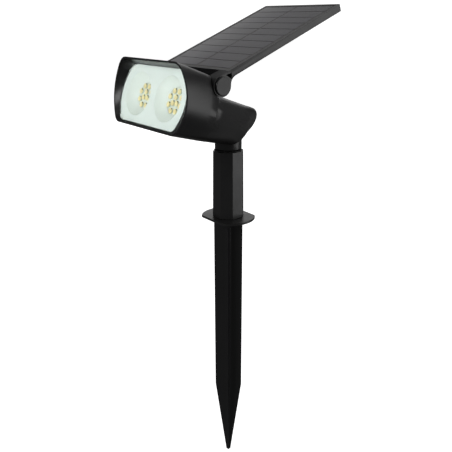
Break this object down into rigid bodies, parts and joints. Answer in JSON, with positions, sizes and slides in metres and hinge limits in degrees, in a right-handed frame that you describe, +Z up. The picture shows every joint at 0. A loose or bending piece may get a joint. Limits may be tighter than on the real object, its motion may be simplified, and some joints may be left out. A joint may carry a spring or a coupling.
{
  "type": "solar garden spotlight",
  "caption": "Stake-mounted solar garden spotlight: wide lamp head with a visor and LED bowls, swivel neck, hinged solar panel, octagonal pole and ribbed ground spike.",
  "frame": {"origin": "on the pole and swivel axis at ground level, in the plane of the flange's underside", "axes": "+Z up along the pole; -Y the way the lamp looks; +X to the right as seen by someone facing the lamp's lens; the panel leans back over +Y"},
  "size_m": [0.0926, 0.1458, 0.385],
  "materials": {
    "black_plastic": "satin moulded ABS",
    "black_rubber": "matt",
    "clear_lens": "clear polycarbonate, polished",
    "white_silicone": "matt",
    "white_reflector": "semi-gloss moulded white",
    "led_board_white": "white solder mask with yellow phosphor LEDs",
    "board_green": "solder mask",
    "cell_wrap": "shrink wrap",
    "cradle_plastic": "moulded",
    "switch_black": "moulded",
    "lead_red": "PVC insulation",
    "lead_black": "PVC insulation",
    "screw_steel": "zinc plated",
    "insert_brass": "turned",
    "solar_cells": "laminated silicon cells under clear resin"
  },
  "bodies": {
    "stake": {"ground_spike": "black_plastic", "pole_tube": "black_plastic"},
    "head": {"head_housing": "black_plastic", "swivel_o_ring": "black_rubber", "swivel_washer": "black_rubber", "lens": "clear_lens", "lens_gasket": "white_silicone", "reflector": "white_reflector", "led_board": "led_board_white", "board_screw_upper": "screw_steel", "board_screw_lower": "screw_steel", "battery_cell": "cell_wrap", "battery_cradle": "cradle_plastic", "control_board": "board_green", "switch_board": "board_green", "tact_switch": "switch_black", "battery_lead_red": "lead_red", "battery_lead_black": "lead_black", "led_lead": "lead_black", "hinge_insert_right": "insert_brass", "hinge_insert_left": "insert_brass", "hinge_washer_right": "black_rubber", "hinge_washer_left": "black_rubber", "hinge_screw_right": "screw_steel", "hinge_screw_left": "screw_steel"},
    "panel": {"panel_frame": "black_plastic", "solar_laminate": "solar_cells", "panel_back_cover": "black_plastic", "solder_board": "board_green", "cover_screw_near_right": "screw_steel", "cover_screw_near_left": "screw_steel", "cover_screw_far_right": "screw_steel", "cover_screw_far_left": "screw_steel", "hinge_cap_right": "black_plastic", "hinge_cap_left": "black_plastic"},
    "button": {"power_button": "black_rubber"}
  },
  "joints": [
    {"name": "head_swivel", "type": "hinge", "parent": "stake", "child": "head", "pos_m": [0, 0, 0.054], "axis": [0, 0, 1], "continuous": true},
    {"name": "panel_tilt", "type": "hinge", "parent": "head", "child": "panel", "pos_m": [0, -0.03599, 0.10698], "axis": [1, 0, 0], "range_deg": [-40, 38]},
    {"name": "button_press", "type": "slide", "parent": "head", "child": "button", "axis": [0, -0.5711, 0.8208], "range_m": [0, 0.0008], "stiffness_N_per_m": 1500, "springref_m": -0.0004}
  ]
}
